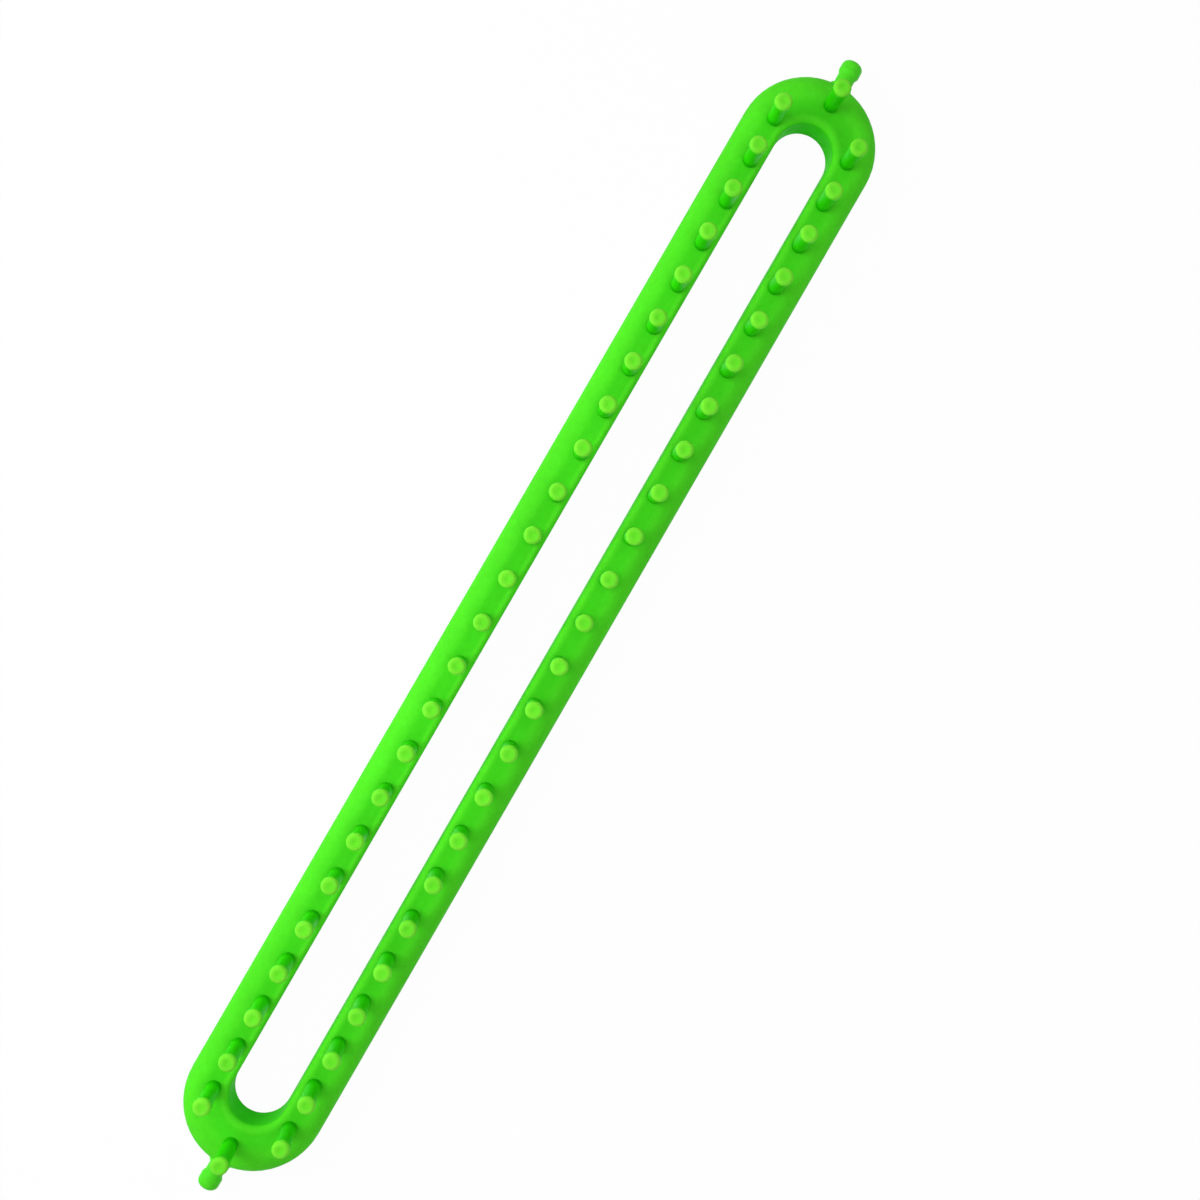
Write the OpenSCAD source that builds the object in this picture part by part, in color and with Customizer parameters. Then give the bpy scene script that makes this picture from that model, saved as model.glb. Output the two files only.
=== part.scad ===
// Long knitting loom: a slotted frame, two rows of pegs, a peg at each end and two anchor pegs.
// +X runs along the loom, +Y across it, +Z up. The origin is on the table under the middle of the frame.

/* [Peg layout] */
// Pegs in each long row
pegs_per_row = 24; // [10:1:27]
// Spacing of the pegs along a row
peg_pitch = 17; // [14:0.5:20]
// Distance between the two rows
row_spacing = 30; // [28:0.5:32]
// Distance along the loom from the last pegs of the rows to the end peg
end_peg_reach = 14.5; // [12:0.5:18]

/* [Frame] */
// Width across both bars
frame_width = 50.5; // [46:0.5:56]
// Height of the flat top above the table
frame_height = 12; // [11:0.5:16]
// Rounding along the outer top edge
shoulder_radius = 7; // [4:0.5:7]
// Distance from an end peg out to the end of the frame
outer_margin = 10; // [9:0.5:14]
// Distance from an end peg in to the end of the slot
inner_margin = 8.5; // [8:0.5:13]
// Width of the slot that the knitting drops through
slot_width = 20.5; // [16:0.5:21]
// Rounding along the rim of the slot
slot_rim_radius = 2; // [0.5:0.1:2.2]

/* [Coring under the frame] */
// Thickness of the frame's walls and top
wall = 2; // [1.6:0.1:2.4]
// Thickness of a socket boss round its socket
boss_wall = 1.4; // [1:0.1:1.8]
// Thickness of a rib across the bars
rib_thickness = 1.5; // [1:0.1:2.5]
// Height of the bosses' and ribs' lower edges above the table
rib_lift = 1.5; // [0.5:0.1:2]

/* [Pegs] */
// Height that a peg stands above the frame
peg_height = 17.5; // [14:0.5:24]
// Shank diameter where it stands on the frame
shank_base_d = 5.4; // [4.6:0.1:5.6]
// Shank diameter under the head
shank_neck_d = 5.2; // [4.2:0.1:5.4]
// Tenon diameter
tenon_d = 3.6; // [3:0.1:4]
// Tenon length below the frame's top
tenon_length = 8.5; // [6:0.5:9]
// Gap all round a tenon or spigot in its socket
press_clearance = 0.02; // [0.01:0.01:0.06]

/* [Peg heads] */
// Head diameter
head_d = 6.2; // [5.8:0.1:7.4]
// Head height from the neck to the top
head_height = 4; // [3.4:0.1:5]
// Height of the sloping underside of a head
head_underside = 1; // [0.5:0.1:1.4]
// Rounding of the top edge of a head
head_rounding = 1; // [0.8:0.1:1.8]
// Diameter of the dish in the top of a head
dish_d = 2.6; // [2:0.1:3.4]
// Depth of the dish
dish_depth = 0.15; // [0.1:0.05:0.5]

/* [Hook groove] */
// Width of the groove down the outer face of a shank
groove_width = 1.6; // [1:0.1:2]
// Depth of the groove
groove_depth = 0.6; // [0.3:0.1:0.8]
// Height of the groove's lower end above the frame
groove_lift = 1.5; // [0.8:0.1:4]

/* [Anchor pegs] */
// Distance that an anchor peg reaches past the frame's end
anchor_reach = 9.5; // [8:0.5:14]
// Height of its axis above the table
anchor_axis_height = 6; // [5:0.1:6.5]
// Neck diameter
anchor_neck_d = 6.4; // [5.6:0.1:6.8]
// Head diameter
anchor_head_d = 7.7; // [7:0.1:8.4]
// Head length
anchor_head_length = 4.6; // [4:0.1:6.4]
// Rounding of the outer end of the head
anchor_tip_rounding = 1.8; // [1:0.1:3]
// Rounding of the inner edge of the head
anchor_edge_rounding = 0.5; // [0.2:0.1:0.8]
// Spigot diameter
spigot_d = 4; // [3:0.1:4.4]
// Spigot length from the seat inward
spigot_length = 5; // [4:0.1:6]
// Fillet between the neck's seat and the frame's end
seat_fillet = 1; // [0.6:0.1:1.6]
// Distance that the seat runs back into the frame's rounded end
seat_root = 5; // [4.5:0.5:7]
// Depth of the socket behind a spigot's end
socket_relief = 0.6; // [0.3:0.1:1]

/* [Hidden] */
$fn = 96;

// Overlap that lets a cut break cleanly through a face
cut = 1;
frame_green = [0.25, 0.82, 0.12];
peg_green = [0.38, 0.92, 0.18];

row_length = (pegs_per_row - 1) * peg_pitch;
end_peg_x = row_length / 2 + end_peg_reach;
frame_end_x = end_peg_x + outer_margin;
slot_end_x = end_peg_x - inner_margin;

boss_d = tenon_d + 2 * press_clearance + 2 * boss_wall;
spigot_boss_d = spigot_d + 2 * press_clearance + 2 * boss_wall;
end_r = frame_width / 2;
seat_r = anchor_neck_d / 2 + seat_fillet;
seat_reach = sqrt(pow(end_r + seat_fillet, 2) - pow(seat_r, 2)) - end_r;
seat_x = frame_end_x + seat_reach;
neck_z = peg_height - head_height;
dish_ball_r = (pow(dish_d / 2, 2) + pow(dish_depth, 2)) / (2 * dish_depth);
groove_ball_r = (pow(groove_width / 2, 2) + pow(groove_depth, 2)) / (2 * groove_depth);

function peg_x(i) = (i - 1) * peg_pitch - row_length / 2;
function two_digits(i) = i < 10 ? str("0", i) : str(i);
function row_peg(row, i) = str(row, "_peg_", two_digits(i));

// Half of a bar-like section, from the axis out to half_width, with its outer top corner rounded.
module shoulder_section(half_width, height, radius) {
    square([half_width - radius, height]);
    square([half_width, height - radius]);
    translate([half_width - radius, height - radius])
        intersection() {
            circle(r = radius);
            square(radius);
        }
}

// Half of the slot's section: straight sides that flare out round the rim at the top.
module slot_section(half_width, rim) {
    translate([0, -cut])
        square([half_width, frame_height + 2 * cut]);
    difference() {
        translate([0, frame_height - rim])
            square([half_width + rim, rim + cut]);
        translate([half_width + rim, frame_height - rim])
            circle(r = rim);
    }
}

// A long solid with round ends: the half section is drawn out along X and turned at each end.
module round_ended(end_x, half_width) {
    straight = end_x - half_width;
    for (side = [0, 180])
        rotate([0, 0, side]) {
            translate([straight, 0, 0])
                rotate([0, 0, -90])
                    rotate_extrude(angle = 180)
                        children();
            translate([-straight, 0, 0])
                rotate([90, 0, 90])
                    linear_extrude(height = 2 * straight)
                        children();
        }
}

module shell() {
    round_ended(frame_end_x, frame_width / 2)
        shoulder_section(frame_width / 2, frame_height, shoulder_radius);
}

module slot() {
    round_ended(slot_end_x, slot_width / 2)
        slot_section(slot_width / 2, slot_rim_radius);
}

module slot_wall() {
    half_width = slot_width / 2 + wall;
    round_ended(slot_end_x + wall, half_width)
        translate([0, -cut])
            square([half_width, frame_height + 2 * cut]);
}

module core() {
    half_width = frame_width / 2 - wall;
    round_ended(frame_end_x - wall, half_width) {
        translate([0, -cut])
            square([half_width, 2 * cut]);
        shoulder_section(half_width, frame_height - wall, shoulder_radius - wall);
    }
}

// Puts its children at every upright peg, with +X turned to the side that faces away from the slot.
module at_pegs() {
    for (i = [1 : pegs_per_row], side = [-1, 1])
        translate([peg_x(i), side * row_spacing / 2, 0])
            rotate([0, 0, side * 90])
                children();
    for (turn = [0, 180])
        rotate([0, 0, turn])
            translate([end_peg_x, 0, 0])
                children();
}

module bosses_and_ribs() {
    rise = frame_height - rib_lift;
    at_pegs()
        translate([0, 0, rib_lift])
            cylinder(d = boss_d, h = rise);
    for (i = [1 : pegs_per_row])
        translate([peg_x(i) - rib_thickness / 2, -frame_width / 2, rib_lift])
            cube([rib_thickness, frame_width, rise]);
    for (turn = [0, 180])
        rotate([0, 0, turn]) {
            translate([slot_end_x, -rib_thickness / 2, rib_lift])
                cube([frame_end_x - slot_end_x, rib_thickness, rise]);
            translate([end_peg_x, 0, anchor_axis_height])
                rotate([0, 90, 0])
                    cylinder(d = spigot_boss_d, h = outer_margin);
        }
}

// The seat of an anchor peg: a trumpet whose fillet runs out on the round end of the frame.
module anchor_seat() {
    difference() {
        translate([frame_end_x - seat_root, 0, anchor_axis_height])
            rotate([0, 90, 0])
                cylinder(r = seat_r, h = seat_root + seat_reach);
        translate([seat_x, 0, anchor_axis_height])
            rotate([0, 90, 0])
                rotate_extrude()
                    translate([seat_r, 0])
                        circle(r = seat_fillet);
    }
}

module sockets() {
    at_pegs()
        cylinder(d = tenon_d + 2 * press_clearance, h = frame_height + cut);
    depth = spigot_length + socket_relief;
    for (turn = [0, 180])
        rotate([0, 0, turn])
            translate([seat_x - depth, 0, anchor_axis_height])
                rotate([0, 90, 0])
                    cylinder(d = spigot_d + 2 * press_clearance, h = depth + cut);
}

module frame() {
    color(frame_green)
        difference() {
            union() {
                difference() {
                    shell();
                    slot();
                    difference() {
                        core();
                        slot_wall();
                        bosses_and_ribs();
                    }
                }
                for (turn = [0, 180])
                    rotate([0, 0, turn])
                        anchor_seat();
            }
            sockets();
        }
}

// Half of a peg's section from its tenon to the flat of its head.
module peg_section() {
    head_r = head_d / 2;
    translate([0, -tenon_length])
        square([tenon_d / 2, tenon_length + cut]);
    polygon([
        [0, 0],
        [shank_base_d / 2, 0],
        [shank_neck_d / 2, neck_z],
        [head_r, neck_z + head_underside],
        [head_r, peg_height - head_rounding],
        [0, peg_height - head_rounding]
    ]);
    translate([0, peg_height - head_rounding])
        intersection() {
            square([head_r, head_rounding]);
            union() {
                square([head_r - head_rounding, head_rounding]);
                translate([head_r - head_rounding, 0])
                    circle(r = head_rounding);
            }
        }
}

// A peg standing at the origin, with its hook groove on the +X side.
module peg() {
    color(peg_green)
        difference() {
            rotate_extrude()
                peg_section();
            translate([0, 0, peg_height + dish_ball_r - dish_depth])
                sphere(r = dish_ball_r);
            translate([shank_base_d / 2 - groove_depth + groove_ball_r, 0, groove_lift])
                cylinder(r = groove_ball_r, h = neck_z - groove_lift);
        }
}

module peg_in_row(i, side) {
    translate([peg_x(i), side * row_spacing / 2, frame_height])
        rotate([0, 0, side * 90])
            peg();
}

module front_peg(i) {
    peg_in_row(i, -1);
}

module back_peg(i) {
    peg_in_row(i, 1);
}

module right_end_peg() {
    translate([end_peg_x, 0, frame_height])
        peg();
}

module left_end_peg() {
    rotate([0, 0, 180])
        right_end_peg();
}

// Half of an anchor peg's section, with the seat at zero and the tip outward.
module anchor_section() {
    length = anchor_reach - seat_reach;
    head_r = anchor_head_d / 2;
    head_start = length - anchor_head_length;
    translate([0, -spigot_length])
        square([spigot_d / 2, spigot_length + cut]);
    square([anchor_neck_d / 2, head_start + cut]);
    translate([0, head_start]) {
        square([head_r - anchor_edge_rounding, anchor_head_length / 2]);
        translate([head_r - anchor_edge_rounding, anchor_edge_rounding])
            circle(r = anchor_edge_rounding);
        translate([0, anchor_edge_rounding])
            square([head_r, anchor_head_length - anchor_edge_rounding - anchor_tip_rounding]);
        translate([0, anchor_head_length - anchor_tip_rounding])
            intersection() {
                square([head_r, anchor_tip_rounding]);
                union() {
                    square([head_r - anchor_tip_rounding, anchor_tip_rounding]);
                    translate([head_r - anchor_tip_rounding, 0])
                        circle(r = anchor_tip_rounding);
                }
            }
    }
}

module right_anchor_peg() {
    color(peg_green)
        translate([seat_x, 0, anchor_axis_height])
            rotate([0, 90, 0])
                rotate_extrude()
                    anchor_section();
}

module left_anchor_peg() {
    rotate([0, 0, 180])
        right_anchor_peg();
}

frame();
for (i = [1 : pegs_per_row]) {
    front_peg(i);
    back_peg(i);
}
left_end_peg();
right_end_peg();
left_anchor_peg();
right_anchor_peg();
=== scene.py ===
"""Long knitting loom: its moulded pegs and anchor pegs, the finish of its frame, and the stage."""

import math

import bmesh
import bpy
from bpy.props import FloatProperty, FloatVectorProperty, PointerProperty
from bpy.types import Operator, Panel, PropertyGroup
from mathutils import Matrix, Vector
from mathutils.geometry import interpolate_bezier


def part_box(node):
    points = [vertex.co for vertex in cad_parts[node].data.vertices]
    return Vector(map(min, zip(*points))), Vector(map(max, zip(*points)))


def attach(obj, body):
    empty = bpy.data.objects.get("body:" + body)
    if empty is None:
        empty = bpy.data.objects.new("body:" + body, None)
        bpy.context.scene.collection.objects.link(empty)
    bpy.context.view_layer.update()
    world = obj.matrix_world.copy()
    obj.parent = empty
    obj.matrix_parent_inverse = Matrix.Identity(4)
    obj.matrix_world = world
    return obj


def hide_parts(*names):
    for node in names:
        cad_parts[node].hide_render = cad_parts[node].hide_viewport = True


bl_info = {
    "name": "Long Knitting Loom",
    "version": (1, 0, 0),
    "blender": (4, 5, 0),
    "location": "3D View > Sidebar > Loom",
    "description": "Moulds the pegs of a long knitting loom, finishes its frame and lights it",
    "category": "Object",
}

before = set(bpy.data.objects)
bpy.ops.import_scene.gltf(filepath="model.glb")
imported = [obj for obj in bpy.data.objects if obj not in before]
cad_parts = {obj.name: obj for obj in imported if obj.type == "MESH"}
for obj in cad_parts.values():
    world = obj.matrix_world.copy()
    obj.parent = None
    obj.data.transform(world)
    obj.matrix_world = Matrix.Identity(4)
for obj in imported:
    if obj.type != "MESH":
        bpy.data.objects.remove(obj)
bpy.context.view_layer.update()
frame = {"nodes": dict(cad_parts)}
MM = 0.001

FRAME_NODE = "frame"
ANCHOR_NODES = sorted(n for n in frame["nodes"] if n.endswith("_anchor_peg"))
PEG_NODES = sorted(n for n in frame["nodes"] if n not in ANCHOR_NODES + [FRAME_NODE])
FRAME_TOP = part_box(FRAME_NODE)[1].z
PEG_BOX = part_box(PEG_NODES[0])
ANCHOR_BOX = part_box("right_anchor_peg")
# Where the line along the middle of the slot stops, at the centre of the slot's round end
SLOT_LINE_END = 191.25 * MM
# Places of the colour sockets on a Mix node
MIX_SHARE, MIX_FIRST, MIX_SECOND, MIX_RESULT = 0, 6, 7, 2


def length(name, description, millimetres):
    """A length property with its default in millimetres."""
    return FloatProperty(
        name=name, description=description, unit="LENGTH", subtype="DISTANCE", min=0, precision=5,
        default=millimetres * MM,
    )


def colour(name, description, shade):
    """A colour property."""
    return FloatVectorProperty(
        name=name, description=description, subtype="COLOR", size=3, min=0, max=1, default=shade,
    )


class LoomPegs(PropertyGroup):
    """Sizes of the upright pegs."""

    head_d: length("Head", "Diameter of a peg's head", (PEG_BOX[1].x - PEG_BOX[0].x) / MM)
    height: length("Height", "Height that a peg stands above the frame", (PEG_BOX[1].z - FRAME_TOP) / MM)
    foot_d: length("Foot", "Shank diameter on the frame", 5.4)
    neck_d: length("Neck", "Shank diameter under the head", 5.2)
    head_height: length("Head height", "Height of the head above the neck", 4.0)
    rounding: length("Top rounding", "Rounding of the head's top edge", 1.2)
    dish_d: length("Dish", "Diameter of the shallow dish in the head", 3.2)
    dish_depth: length("Dish depth", "Depth of the dish", 0.16)
    groove_width: length("Groove width", "Width of the groove down the shank", 1.6)
    groove_depth: length("Groove depth", "Depth of the groove", 0.6)
    groove_lift: length("Groove lift", "Height of the groove's lower end above the frame", 1.5)
    tenon_d: length("Tenon", "Diameter of the tenon in the frame", 3.6)
    seam: length("Seam", "Height of the fine mould seams", 0.04)


class LoomAnchors(PropertyGroup):
    """Sizes of the anchor pegs."""

    head_d: length("Head", "Diameter of an anchor peg's head", (ANCHOR_BOX[1].y - ANCHOR_BOX[0].y) / MM)
    neck_d: length("Neck", "Diameter of the neck", 6.4)
    head_length: length("Head length", "Length of the head", 4.6)
    tip_rounding: length("Tip rounding", "Rounding of the head's outer end", 1.8)
    spigot_d: length("Spigot", "Diameter of the spigot in the frame", 4.0)
    spigot_length: length("Spigot length", "Length of the spigot", 5.0)
    gate_d: length("Gate mark", "Diameter of the mark in the tip where the plastic came in", 1.8)
    seam: length("Seam", "Height of the fine mould seams", 0.05)


class LoomColours(PropertyGroup):
    """Colours of the loom's plastic."""

    frame: colour("Frame", "Plastic of the frame", (0.070, 0.78, 0.0155))
    # Pale plastic of the anchor pegs; on the frame it is laid along the outer shoulders as a painted
    # highlight
    edges: colour("Highlit edges", "Paler plastic along the frame's rounded edges", (0.095, 0.85, 0.021))
    # Painted highlight along the slot's rim
    rim_highlight: colour("Slot rim", "Palest plastic along the bright rim of the slot", (0.11, 0.89, 0.024))
    # Painted shade on the frame's upright faces
    wall_shade: colour("Walls", "Deeper plastic on the upright faces of the frame", (0.045, 0.72, 0.006))
    # Painted shade at the foot of a peg, where it stands on the frame
    foot_shade: colour("Peg feet", "Deep plastic at the foot of a peg", (0.012, 0.50, 0.001))
    # The pegs' plastic below the head, set deeper than the frame's partly as painted shade on the upright
    # shank
    shanks: colour("Peg shanks", "Plastic of the pegs below the head", (0.036, 0.76, 0.003))
    # Painted highlight on the top of a peg's head, palest in a ring round the dish
    head_highlight: colour("Peg heads", "Paler plastic round the highlit top of a head", (0.21, 0.98, 0.04))
    # The dish in the middle of a head, with less of the painted highlight
    dishes: colour("Peg dishes", "Plastic in the dish of a head", (0.16, 0.96, 0.029))


class LoomStage(PropertyGroup):
    """Camera, lamps and floor."""

    camera_place: FloatVectorProperty(
        name="Camera place", description="Where the camera stands above the loom",
        subtype="TRANSLATION", unit="LENGTH", size=3, default=(0.0110, 0.0120, 0.465),
    )
    camera_aim: FloatVectorProperty(
        name="Camera aim", description="Point on the table in the middle of the picture",
        subtype="TRANSLATION", unit="LENGTH", size=3, default=(0.0184, -0.0174, 0.0),
    )
    loom_slant: FloatProperty(
        name="Loom slant", description="Angle of the loom's long axis above the picture's horizontal",
        subtype="ANGLE", unit="ROTATION", default=math.radians(60.01),
    )
    lens: FloatProperty(
        name="Lens", description="Focal length on a 36 mm wide sensor, in millimetres",
        default=38.78, min=10,
    )
    key_power: FloatProperty(
        name="Key power", description="Power of the soft lamp beside the back row",
        default=2.8, min=0,
    )
    fill_power: FloatProperty(
        name="Fill power", description="Power of the soft lamp above the front row",
        default=0.5, min=0,
    )
    overhead: FloatProperty(
        name="Overhead", description="Strength of the soft light from straight above",
        default=0.50, min=0,
    )
    horizon: FloatProperty(
        name="Horizon", description="Strength of the soft light from level with the table",
        default=0.25, min=0,
    )


def rounded(start, corner, end, steps):
    """Points of a rounded corner, after its first point."""
    # How far along its arms a curve is pulled to follow a quarter circle
    pull = 0.5523
    points = interpolate_bezier(start, start.lerp(corner, pull), end.lerp(corner, pull), end, steps + 1)
    return points[1:]


def turned(name, profile, angles, carve):
    """A closed turned mesh with a ring for each radius and height of the profile, carved by angle."""
    form = bmesh.new()
    rings = []
    for radius, height in profile:
        ring = []
        for angle in angles:
            reach = carve(radius, height, angle)
            ring.append(form.verts.new((reach * math.cos(angle), reach * math.sin(angle), height)))
        rings.append(ring)
    count = len(angles)
    for low, high in zip(rings, rings[1:]):
        for i in range(count):
            j = (i + 1) % count
            form.faces.new((low[i], low[j], high[j], high[i]))
    foot = form.verts.new((0, 0, profile[0][1]))
    tip = form.verts.new((0, 0, profile[-1][1]))
    for i in range(count):
        j = (i + 1) % count
        form.faces.new((foot, rings[0][j], rings[0][i]))
        form.faces.new((tip, rings[-1][i], rings[-1][j]))
    form.normal_update()
    sharp = math.radians(50)
    for face in form.faces:
        face.smooth = True
    for edge in form.edges:
        edge.smooth = edge.calc_face_angle(0) < sharp
    mesh = bpy.data.meshes.new(name)
    form.to_mesh(mesh)
    form.free()
    return mesh


def ring_angles(fine):
    """Angles round a ring, closer together within the fine angle of zero and beside the two seams."""
    fine_steps = 8
    wide_steps = 9
    back_steps = 12
    seam_half = math.radians(2.5)
    seam = math.pi / 2
    half = [fine * i / fine_steps for i in range(1, fine_steps + 1)]
    start = half[-1]
    half += [start + (seam - seam_half - start) * i / wide_steps for i in range(1, wide_steps + 1)]
    half += [seam, seam + seam_half]
    start = half[-1]
    half += [start + (math.pi - start) * i / back_steps for i in range(1, back_steps)]
    return [0.0] + half + [math.pi] + [-a for a in reversed(half)]


def on_seam(angle):
    """True on the two lines where the halves of the mould met."""
    return abs(abs(angle) - math.pi / 2) < 1e-6


def ease(value, start, end):
    """Rises smoothly from 0 at start to 1 at end."""
    share = min(1.0, max(0.0, (value - start) / (end - start)))
    return share * share * (3 - 2 * share)


def peg_profile(pegs):
    """Radius and height of a peg from the end of its tenon to the dish in its head."""
    foot_r, neck_r, head_r, tenon_r = (d / 2 for d in (pegs.foot_d, pegs.neck_d, pegs.head_d, pegs.tenon_d))
    depth = PEG_BOX[0].z - FRAME_TOP
    chamfer = 0.3 * MM
    foot_edge = 0.3 * MM
    neck_drop = 0.7 * MM
    head_rise = 1.3 * MM
    flare_pull = 1.0 * MM
    neck_z = pegs.height - pegs.head_height
    neck_start = Vector((neck_r, neck_z - neck_drop))
    head_start = Vector((head_r, neck_z + head_rise))
    points = [
        Vector((tenon_r - chamfer, depth)),
        Vector((tenon_r, depth + chamfer)),
        Vector((tenon_r, 0)),
        Vector((foot_r - foot_edge, 0)),
    ]
    points += rounded(points[-1], Vector((foot_r, 0)), Vector((foot_r, foot_edge)), 3)
    shank = Vector((foot_r, foot_edge))
    # Shares of the shank's height, closer together where the groove runs out
    rings = [0.03, 0.06, 0.09, 0.12, 0.15, 0.18, 0.22, 0.35, 0.5, 0.65, 0.8, 0.88, 0.92, 0.96, 1]
    points += [shank.lerp(neck_start, share) for share in rings]
    lift = Vector((0, flare_pull))
    points += interpolate_bezier(neck_start, neck_start + lift, head_start - lift, head_start, 10)[1:]
    top = Vector((head_r, pegs.height - pegs.rounding))
    points.append(top)
    rim = Vector((head_r - pegs.rounding, pegs.height))
    points += rounded(top, Vector((head_r, pegs.height)), rim, 7)
    dish_r = pegs.dish_d / 2
    for share in (1.15, 1, 0.85, 0.7, 0.5, 0.3, 0.12):
        drop = pegs.dish_depth * (1 - ease(share, 0, 1))
        points.append(Vector((dish_r * share, pegs.height - drop)))
    return points


def moulded_peg(pegs):
    """The mesh of one peg with its foot at the origin and its groove on the +X side."""
    half_width = pegs.groove_width / 2
    ball = (half_width ** 2 + pegs.groove_depth ** 2) / (2 * pegs.groove_depth)
    lower = pegs.groove_lift
    upper = pegs.height - pegs.head_height
    run_out = 0.9 * MM
    blend = 0.16 * MM
    seam_top = pegs.height - 1.5 * pegs.rounding

    def carve(radius, height, angle):
        if on_seam(angle) and 0 < height < seam_top:
            return radius + pegs.seam
        rise = ease(height, lower, lower + run_out)
        fall = ease(-height, -upper, run_out - upper)
        depth = pegs.groove_depth * rise * fall
        across = radius * math.sin(angle)
        if depth <= 0 or math.cos(angle) <= 0 or abs(across) >= ball:
            return radius
        straight = radius * math.cos(angle)
        floor = radius - depth + ball - math.sqrt(ball ** 2 - across ** 2)
        near = max(blend - abs(straight - floor), 0) / blend
        return (min(straight, floor) - near * near * blend / 4) / math.cos(angle)

    fine = 1.35 * math.asin(pegs.groove_width / pegs.foot_d)
    return turned("moulded_peg", peg_profile(pegs), ring_angles(fine), carve)


def anchor_profile(anchors):
    """Radius and height of an anchor peg from the end of its spigot, with the seat at zero, to its tip."""
    head_r, neck_r, spigot_r = (d / 2 for d in (anchors.head_d, anchors.neck_d, anchors.spigot_d))
    reach = ANCHOR_BOX[1].x - ANCHOR_BOX[0].x - anchors.spigot_length
    head_start = reach - anchors.head_length
    chamfer = 0.3 * MM
    neck_middle = 0.4 * head_start
    flare_start = 0.75 * head_start
    flare_rise = 0.7 * MM
    flare_pull = 0.8 * MM
    head_ring = head_start + 0.3 * anchors.head_length
    points = [
        Vector((spigot_r - chamfer, -anchors.spigot_length)),
        Vector((spigot_r, chamfer - anchors.spigot_length)),
        Vector((spigot_r, 0)),
        Vector((neck_r, 0)),
        Vector((neck_r, neck_middle)),
        Vector((neck_r, flare_start)),
    ]
    collar = Vector((head_r, head_start + flare_rise))
    lift = Vector((0, flare_pull))
    points += interpolate_bezier(points[-1], points[-1] + lift, collar - lift, collar, 11)[1:]
    points.append(Vector((head_r, head_ring)))
    tip = Vector((head_r, reach - anchors.tip_rounding))
    points.append(tip)
    flat = Vector((head_r - anchors.tip_rounding, reach))
    points += rounded(tip, Vector((head_r, reach)), flat, 10)
    gate_r = anchors.gate_d / 2
    gate_depth = 0.12 * MM
    for share in (1.1, 1, 0.9, 0.8, 0.4):
        points.append(Vector((gate_r * share, reach - gate_depth * (1 - ease(share, 0.8, 1)))))
    return points


def moulded_anchor(anchors):
    """The mesh of one anchor peg with its seat at the origin, pointing along +Z."""
    profile = anchor_profile(anchors)
    seam_end = profile[-1][1] - 0.5 * anchors.tip_rounding
    seam_fade = 2 * MM

    def carve(radius, height, angle):
        if on_seam(angle) and 0 < height < seam_end:
            return radius + anchors.seam * (1 - ease(height, seam_end - seam_fade, seam_end))
        return radius

    return turned("moulded_anchor", profile, ring_angles(math.radians(40)), carve)


def outward(spot):
    """Angle that turns +X away from the slot at a place on the frame."""
    middle = 5 * MM
    if abs(spot.y) > middle:
        return math.copysign(math.pi / 2, spot.y)
    return 0.0 if spot.x > 0 else math.pi


def new_material(name):
    """A material with its shader and nothing else."""
    material = bpy.data.materials.new(name)
    material.use_nodes = True
    tree = material.node_tree
    tree.nodes.clear()
    output = tree.nodes.new("ShaderNodeOutputMaterial")
    shader = tree.nodes.new("ShaderNodeBsdfPrincipled")
    tree.links.new(shader.outputs["BSDF"], output.inputs["Surface"])
    return material, tree, shader


def noise(tree, place, scale, detail, rough, stretch=(1, 1, 1)):
    """Noise that differs from piece to piece, stretched along the axes."""
    link = tree.links.new
    step = 40
    mapping = tree.nodes.new("ShaderNodeMapping")
    mapping.inputs["Scale"].default_value = stretch
    link(place, mapping.inputs["Vector"])
    piece = tree.nodes.new("ShaderNodeObjectInfo")
    spread = tree.nodes.new("ShaderNodeMath")
    spread.operation = "MULTIPLY"
    spread.inputs[1].default_value = step
    link(piece.outputs["Random"], spread.inputs[0])
    node = tree.nodes.new("ShaderNodeTexNoise")
    node.noise_dimensions = "4D"
    node.inputs["Scale"].default_value = scale
    node.inputs["Detail"].default_value = detail
    node.inputs["Roughness"].default_value = rough
    link(mapping.outputs["Vector"], node.inputs["Vector"])
    link(spread.outputs["Value"], node.inputs["W"])
    return node.outputs["Fac"]


def between(tree, value, low, high, start=0.3, end=0.7):
    """Runs a value from low to high as it goes from start to end."""
    node = tree.nodes.new("ShaderNodeMapRange")
    node.interpolation_type = "SMOOTHSTEP"
    node.inputs["From Min"].default_value = start
    node.inputs["From Max"].default_value = end
    node.inputs["To Min"].default_value = low
    node.inputs["To Max"].default_value = high
    tree.links.new(value, node.inputs["Value"])
    return node.outputs["Result"]


def mixed(tree, share, first, second, blend="MIX"):
    """Mixes two colours, each a shade or a socket, by a share that is a number or a socket."""
    node = tree.nodes.new("ShaderNodeMix")
    node.data_type = "RGBA"
    node.blend_type = blend
    for place, value in ((MIX_SHARE, share), (MIX_FIRST, first), (MIX_SECOND, second)):
        socket = node.inputs[place]
        if isinstance(value, bpy.types.NodeSocket):
            tree.links.new(value, socket)
        else:
            socket.default_value = value
    return node.outputs[MIX_RESULT]


def tint(shade, factor):
    """A shade made darker or lighter, with full alpha."""
    return [min(1.0, factor * x) for x in shade] + [1.0]


def toned(tree, flow, shade, spread=0.05):
    """A shade that drifts darker and lighter with the flow marks."""
    return mixed(tree, flow, tint(shade, 1 - spread), tint(shade, 1 + spread))


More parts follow.
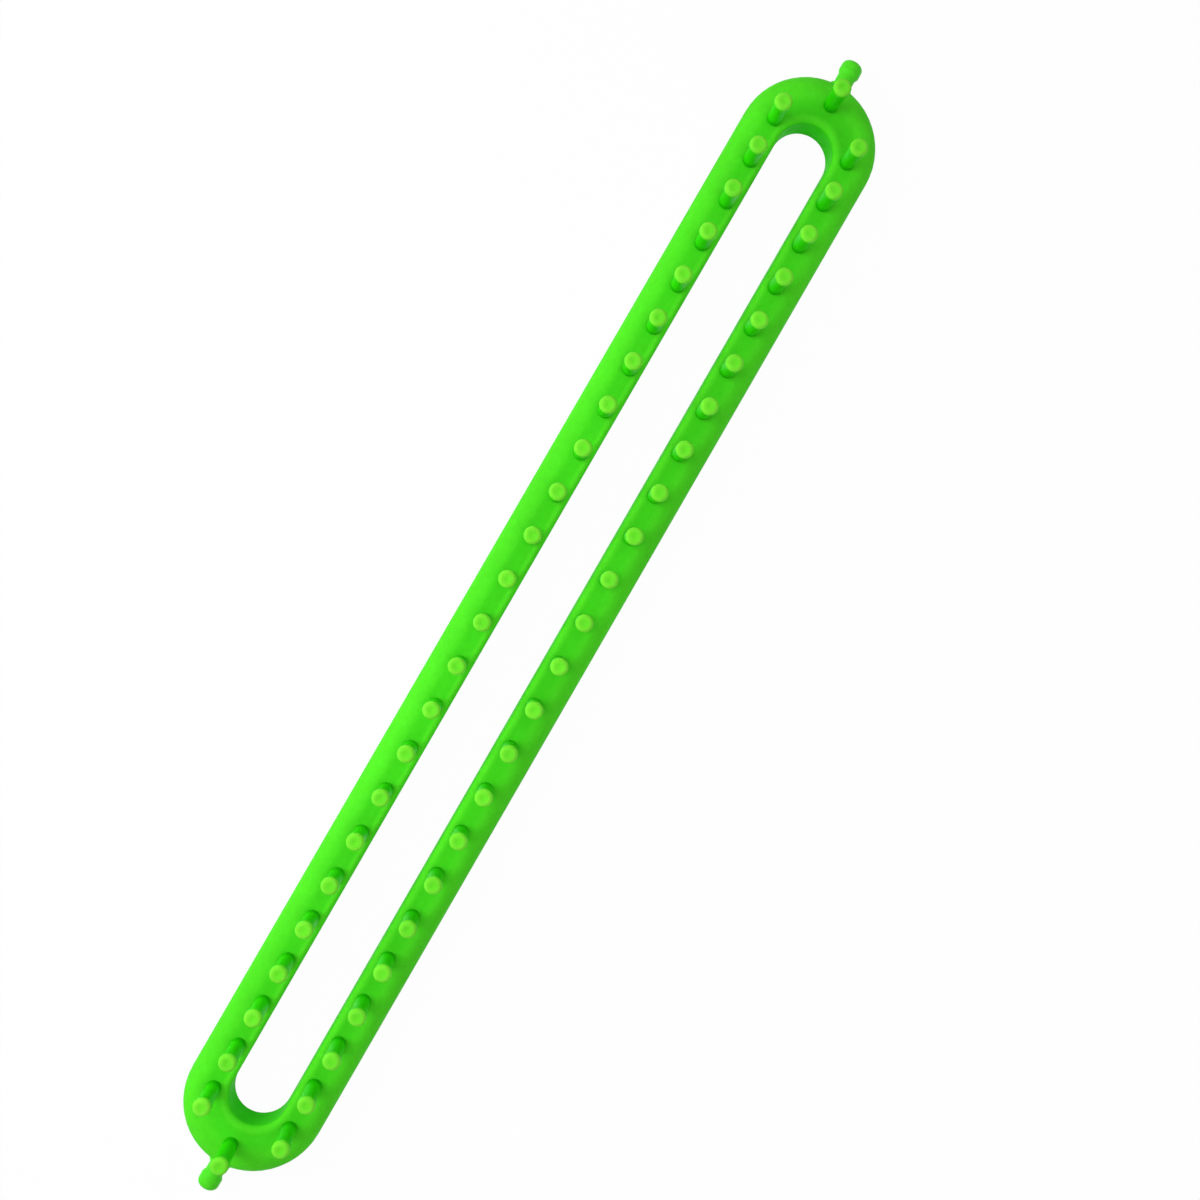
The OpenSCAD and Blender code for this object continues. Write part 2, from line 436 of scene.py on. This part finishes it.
def slot_reach(tree, place):
    """Distance in plan from the line along the middle of the slot."""
    link = tree.links.new
    spot = tree.nodes.new("ShaderNodeVectorMath")
    spot.operation = "ABSOLUTE"
    link(place, spot.inputs[0])
    past = tree.nodes.new("ShaderNodeVectorMath")
    past.operation = "SUBTRACT"
    past.inputs[1].default_value = (SLOT_LINE_END, 0, 0)
    link(spot.outputs["Vector"], past.inputs[0])
    beyond = tree.nodes.new("ShaderNodeVectorMath")
    beyond.operation = "MAXIMUM"
    beyond.inputs[1].default_value = (0, 0, 0)
    link(past.outputs["Vector"], beyond.inputs[0])
    return plan_length(tree, beyond.outputs["Vector"])


def plan_length(tree, vector):
    """Length of a vector seen from above."""
    flat = tree.nodes.new("ShaderNodeVectorMath")
    flat.operation = "MULTIPLY"
    flat.inputs[1].default_value = (1, 1, 0)
    tree.links.new(vector, flat.inputs[0])
    size = tree.nodes.new("ShaderNodeVectorMath")
    size.operation = "LENGTH"
    tree.links.new(flat.outputs["Vector"], size.inputs[0])
    return size.outputs["Value"]


def frame_tone(tree, place, flow, colours):
    """The frame's colour: a painted highlight along the outer shoulders and the slot's rim, and painted
    shade on the upright faces.
    """
    shoulder_highlight_zone = (16.5 * MM, 20 * MM)
    rim_highlight_start = (10.2 * MM, 10.8 * MM)
    rim_highlight_end = (11.8 * MM, 13.8 * MM)
    wall_shade_slope = (0, 0.5)
    spread = 0.07
    reach = slot_reach(tree, place)
    # Painted highlight along the frame's outer shoulders
    outer = between(tree, reach, 0, 1, *shoulder_highlight_zone)
    # Band along the slot's rim that takes the painted highlight
    rim = tree.nodes.new("ShaderNodeMath")
    rim.operation = "MINIMUM"
    tree.links.new(between(tree, reach, 0, 1, *rim_highlight_start), rim.inputs[0])
    tree.links.new(between(tree, reach, 1, 0, *rim_highlight_end), rim.inputs[1])
    facing = tree.nodes.new("ShaderNodeSeparateXYZ")
    tree.links.new(tree.nodes.new("ShaderNodeNewGeometry").outputs["Normal"], facing.inputs["Vector"])
    shades = (colours.frame, colours.edges, colours.rim_highlight, colours.wall_shade)
    flat, edges, rim_highlight, wall_shade = (toned(tree, flow, shade, spread) for shade in shades)
    # Painted shade where the surface turns upright
    upright = between(tree, facing.outputs["Z"], 1, 0, *wall_shade_slope)
    body = mixed(tree, upright, mixed(tree, outer, flat, edges), wall_shade)
    return mixed(tree, rim.outputs["Value"], body, rim_highlight)


def peg_tone(tree, place, flow, colours):
    """A peg's colour: painted shade at the foot, the peg's deep plastic up the shank, and a painted
    highlight on the top of the head, palest round the dish.
    """
    top = PEG_BOX[1].z - FRAME_TOP
    foot_shade_zone = (0.5 * MM, 5 * MM)
    head_highlight_zone = (top - 2.2 * MM, top - 0.4 * MM)
    highlight_ring_zone = (0.8 * MM, 2.2 * MM)
    spot = tree.nodes.new("ShaderNodeSeparateXYZ")
    tree.links.new(place, spot.inputs["Vector"])
    height = spot.outputs["Z"]
    # Painted shade at the foot, fading out up the shank
    up_shank = between(tree, height, 0, 1, *foot_shade_zone)
    shank = mixed(tree, up_shank, toned(tree, flow, colours.foot_shade), toned(tree, flow, colours.shanks))
    # Painted highlight on the head, palest in a ring round the dish
    rim = between(tree, plan_length(tree, place), 0, 1, *highlight_ring_zone)
    dishes = toned(tree, flow, colours.dishes, spread=0.09)
    head = mixed(tree, rim, dishes, toned(tree, flow, colours.head_highlight, spread=0.07))
    # The painted highlight covers the top of the head
    return mixed(tree, between(tree, height, 0, 1, *head_highlight_zone), shank, head)


def moulded_plastic(name, stretch, tone, gloss, rough):
    """Satin moulded plastic: slow flow marks, fine mottle, uneven gloss, fine scuffs and a faint skin.
    The tone gives its colour from the node tree, the place on the piece and the flow marks."""
    material, tree, shader = new_material(name)
    link = tree.links.new
    place = tree.nodes.new("ShaderNodeTexCoord").outputs["Object"]

    flow = between(tree, noise(tree, place, scale=60, detail=3, rough=0.55, stretch=stretch), 0, 1)
    mottle = between(tree, noise(tree, place, scale=520, detail=3, rough=0.6), 0, 1)
    grain = mixed(tree, mottle, (0.93, 0.95, 0.93, 1), (1, 1, 1, 1))
    link(mixed(tree, 1.0, tone(tree, place, flow), grain, "MULTIPLY"), shader.inputs["Base Color"])

    streaks = noise(tree, place, scale=260, detail=2, rough=0.5, stretch=(0.15, 1, 1))
    scuffs = between(tree, streaks, 0, 0.09, start=0.52, end=0.66)
    roughness = tree.nodes.new("ShaderNodeMath")
    roughness.operation = "ADD"
    patches = noise(tree, place, scale=120, detail=3, rough=0.55)
    uneven = 0.06
    link(between(tree, patches, rough - uneven, rough + uneven), roughness.inputs[0])
    link(scuffs, roughness.inputs[1])
    link(roughness.outputs["Value"], shader.inputs["Roughness"])

    waves = tree.nodes.new("ShaderNodeBump")
    waves.inputs["Strength"].default_value = 0.12
    waves.inputs["Distance"].default_value = 0.0004
    link(noise(tree, place, scale=90, detail=2, rough=0.5, stretch=stretch), waves.inputs["Height"])
    skin = tree.nodes.new("ShaderNodeBump")
    skin.inputs["Strength"].default_value = 0.1
    skin.inputs["Distance"].default_value = 0.0001
    link(noise(tree, place, scale=1600, detail=3, rough=0.55), skin.inputs["Height"])
    link(waves.outputs["Normal"], skin.inputs["Normal"])
    link(skin.outputs["Normal"], shader.inputs["Normal"])

    shader.inputs["IOR"].default_value = 1.49
    shader.inputs["Specular IOR Level"].default_value = gloss
    shader.inputs["Subsurface Weight"].default_value = 0.12
    shader.inputs["Subsurface Radius"].default_value = (0.5, 1.0, 0.25)
    shader.inputs["Subsurface Scale"].default_value = 0.0015
    return material


def set_in_place(piece, scene, node):
    """Adds a piece to the scene in the place of its CAD node."""
    scene.collection.objects.link(piece)
    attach(piece, "root")
    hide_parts(node)


class LOOM_OT_frame(Operator):
    """Finishes the moulded frame"""

    bl_idname = "loom.frame"
    bl_label = "Frame"

    def execute(self, context):
        piece = frame["nodes"][FRAME_NODE]
        piece.data.materials.clear()
        colours = context.scene.loom_colours

        def tone(tree, place, flow):
            return frame_tone(tree, place, flow, colours)

        plastic = moulded_plastic("frame_plastic", stretch=(0.3, 1, 1), tone=tone, gloss=0.025, rough=0.5)
        piece.data.materials.append(plastic)
        return {"FINISHED"}


class LOOM_OT_pegs(Operator):
    """Moulds the upright pegs"""

    bl_idname = "loom.pegs"
    bl_label = "Pegs"

    def execute(self, context):
        scene = context.scene
        mesh = moulded_peg(scene.loom_pegs)
        colours = scene.loom_colours

        def tone(tree, place, flow):
            return peg_tone(tree, place, flow, colours)

        plastic = moulded_plastic("peg_plastic", stretch=(1, 1, 0.4), tone=tone, gloss=0.03, rough=0.42)
        mesh.materials.append(plastic)
        for node in PEG_NODES:
            low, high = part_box(node)
            spot = (low + high) / 2
            spot.z = FRAME_TOP
            peg = bpy.data.objects.new("moulded_" + node, mesh)
            peg.matrix_world = Matrix.Translation(spot) @ Matrix.Rotation(outward(spot), 4, "Z")
            set_in_place(peg, scene, node)
        return {"FINISHED"}


class LOOM_OT_anchor_pegs(Operator):
    """Moulds the anchor pegs"""

    bl_idname = "loom.anchor_pegs"
    bl_label = "Anchor pegs"

    def execute(self, context):
        scene = context.scene
        anchors = scene.loom_anchors
        mesh = moulded_anchor(anchors)
        colours = scene.loom_colours

        def tone(tree, place, flow):
            # The anchor pegs are in the pale plastic that the frame's shoulders carry as a painted
            # highlight
            return toned(tree, flow, colours.edges, spread=0.07)

        plastic = moulded_plastic("anchor_plastic", stretch=(1, 1, 0.4), tone=tone, gloss=0.09, rough=0.4)
        mesh.materials.append(plastic)
        for node in ANCHOR_NODES:
            low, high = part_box(node)
            spot = (low + high) / 2
            side = math.copysign(1, spot.x)
            inner = low.x if side > 0 else high.x
            seat = Matrix.Translation((inner + side * anchors.spigot_length, spot.y, spot.z))
            lay = Matrix.Rotation(side * math.pi / 2, 4, "Y")
            peg = bpy.data.objects.new("moulded_" + node, mesh)
            peg.matrix_world = seat @ lay
            set_in_place(peg, scene, node)
        return {"FINISHED"}


def place_camera(scene, stage):
    """Stands the camera over the loom with the loom slanting across the picture."""
    data = bpy.data.cameras.new("camera")
    data.sensor_width = 36
    data.lens = stage.lens
    camera = bpy.data.objects.new("camera", data)
    scene.collection.objects.link(camera)
    place = Vector(stage.camera_place)
    back = (place - Vector(stage.camera_aim)).normalized()
    across = Vector((math.cos(stage.loom_slant), -math.sin(stage.loom_slant), 0))
    up = back.cross(across).normalized()
    right = up.cross(back)
    turn = Matrix((right, up, back)).transposed().to_4x4()
    camera.matrix_world = Matrix.Translation(place) @ turn
    scene.camera = camera


def looked_at(tree):
    """1 for what the camera, gloss and glass see, and 0 for the light that falls on things."""
    path = tree.nodes.new("ShaderNodeLightPath")
    total = path.outputs["Is Camera Ray"]
    for extra in ("Is Glossy Ray", "Is Transmission Ray"):
        either = tree.nodes.new("ShaderNodeMath")
        either.operation = "MAXIMUM"
        tree.links.new(total, either.inputs[0])
        tree.links.new(path.outputs[extra], either.inputs[1])
        total = either.outputs["Value"]
    return total


def make_floor(scene):
    """A wide pale floor that keeps the loom's soft shadow."""
    mesh = bpy.data.meshes.new("floor")
    half = 4.0
    drop = -0.0002
    white_share = 0.97
    corners = [(-half, -half, drop), (half, -half, drop), (half, half, drop), (-half, half, drop)]
    mesh.from_pydata(corners, [], [(0, 1, 2, 3)])
    floor = bpy.data.objects.new("floor", mesh)
    scene.collection.objects.link(floor)
    material = bpy.data.materials.new("pale_floor")
    material.use_nodes = True
    tree = material.node_tree
    tree.nodes.clear()
    output = tree.nodes.new("ShaderNodeOutputMaterial")
    matt = tree.nodes.new("ShaderNodeBsdfDiffuse")
    matt.inputs["Color"].default_value = (0.92, 0.92, 0.92, 1)
    white = tree.nodes.new("ShaderNodeEmission")
    share = tree.nodes.new("ShaderNodeMath")
    share.operation = "MULTIPLY"
    share.inputs[1].default_value = white_share
    mix = tree.nodes.new("ShaderNodeMixShader")
    link = tree.links.new
    link(looked_at(tree), share.inputs[0])
    link(share.outputs["Value"], mix.inputs["Fac"])
    link(matt.outputs["BSDF"], mix.inputs[1])
    link(white.outputs["Emission"], mix.inputs[2])
    link(mix.outputs["Shader"], output.inputs["Surface"])
    mesh.materials.append(material)


def make_world(scene, stage):
    """White light that grows from the horizon to overhead, and a plain white background."""
    world = bpy.data.worlds.new("studio")
    scene.world = world
    world.use_nodes = True
    tree = world.node_tree
    tree.nodes.clear()
    output = tree.nodes.new("ShaderNodeOutputWorld")
    seen = tree.nodes.new("ShaderNodeBackground")
    seen.inputs["Color"].default_value = (1, 1, 1, 1)
    light = tree.nodes.new("ShaderNodeBackground")
    light.inputs["Color"].default_value = (1, 1, 1, 1)
    direction = tree.nodes.new("ShaderNodeSeparateXYZ")
    tree.links.new(tree.nodes.new("ShaderNodeTexCoord").outputs["Generated"], direction.inputs["Vector"])
    climb = between(tree, direction.outputs["Z"], stage.horizon, stage.overhead, 0, 1)
    tree.links.new(climb, light.inputs["Strength"])
    mix = tree.nodes.new("ShaderNodeMixShader")
    tree.links.new(looked_at(tree), mix.inputs["Fac"])
    tree.links.new(light.outputs["Background"], mix.inputs[1])
    tree.links.new(seen.outputs["Background"], mix.inputs[2])
    tree.links.new(mix.outputs["Shader"], output.inputs["Surface"])


def add_lamp(scene, name, place, size, power):
    """A square soft lamp at a place, facing the middle of the loom."""
    data = bpy.data.lights.new(name, "AREA")
    data.shape = "SQUARE"
    data.size = size
    data.energy = power
    lamp = bpy.data.objects.new(name, data)
    lamp.location = place
    lamp.rotation_euler = (-Vector(place)).to_track_quat("-Z", "Y").to_euler()
    scene.collection.objects.link(lamp)


class LOOM_OT_stage(Operator):
    """Sets up the camera, floor, lamps and background"""

    bl_idname = "loom.stage"
    bl_label = "Stage"

    def execute(self, context):
        scene = context.scene
        stage = scene.loom_stage
        place_camera(scene, stage)
        make_floor(scene)
        make_world(scene, stage)
        add_lamp(scene, "key", place=(-0.1, 0.5, 0.36), size=0.45, power=stage.key_power)
        add_lamp(scene, "fill", place=(-0.03, -0.35, 0.55), size=0.4, power=stage.fill_power)
        scene.view_settings.view_transform = "Standard"
        return {"FINISHED"}


class LOOM_PT_panel(Panel):
    """Lists the loom's pieces and its stage"""

    bl_idname = "LOOM_PT_panel"
    bl_label = "Long Knitting Loom"
    bl_space_type = "VIEW_3D"
    bl_region_type = "UI"
    bl_category = "Loom"

    def draw(self, context):
        scene = context.scene
        for group in (scene.loom_pegs, scene.loom_anchors, scene.loom_colours, scene.loom_stage):
            for prop in group.bl_rna.properties:
                if not prop.is_readonly and prop.identifier != "name":
                    self.layout.prop(group, prop.identifier)
        for operator in OPERATORS:
            self.layout.operator(operator.bl_idname)


OPERATORS = (LOOM_OT_frame, LOOM_OT_pegs, LOOM_OT_anchor_pegs, LOOM_OT_stage)
CLASSES = (LoomPegs, LoomAnchors, LoomColours, LoomStage, *OPERATORS, LOOM_PT_panel)


def register():
    """Registers the classes and hangs the loom's settings on the scene."""
    for cls in CLASSES:
        bpy.utils.register_class(cls)
    bpy.types.Scene.loom_pegs = PointerProperty(type=LoomPegs)
    bpy.types.Scene.loom_anchors = PointerProperty(type=LoomAnchors)
    bpy.types.Scene.loom_colours = PointerProperty(type=LoomColours)
    bpy.types.Scene.loom_stage = PointerProperty(type=LoomStage)


def unregister():
    """Takes the settings and the classes away again."""
    del bpy.types.Scene.loom_stage
    del bpy.types.Scene.loom_colours
    del bpy.types.Scene.loom_anchors
    del bpy.types.Scene.loom_pegs
    for cls in reversed(CLASSES):
        bpy.utils.unregister_class(cls)


def main():
    """Makes every piece and the stage."""
    register()
    bpy.ops.loom.frame()
    bpy.ops.loom.pegs()
    bpy.ops.loom.anchor_pegs()
    bpy.ops.loom.stage()


if __name__ == "__main__":
    main()
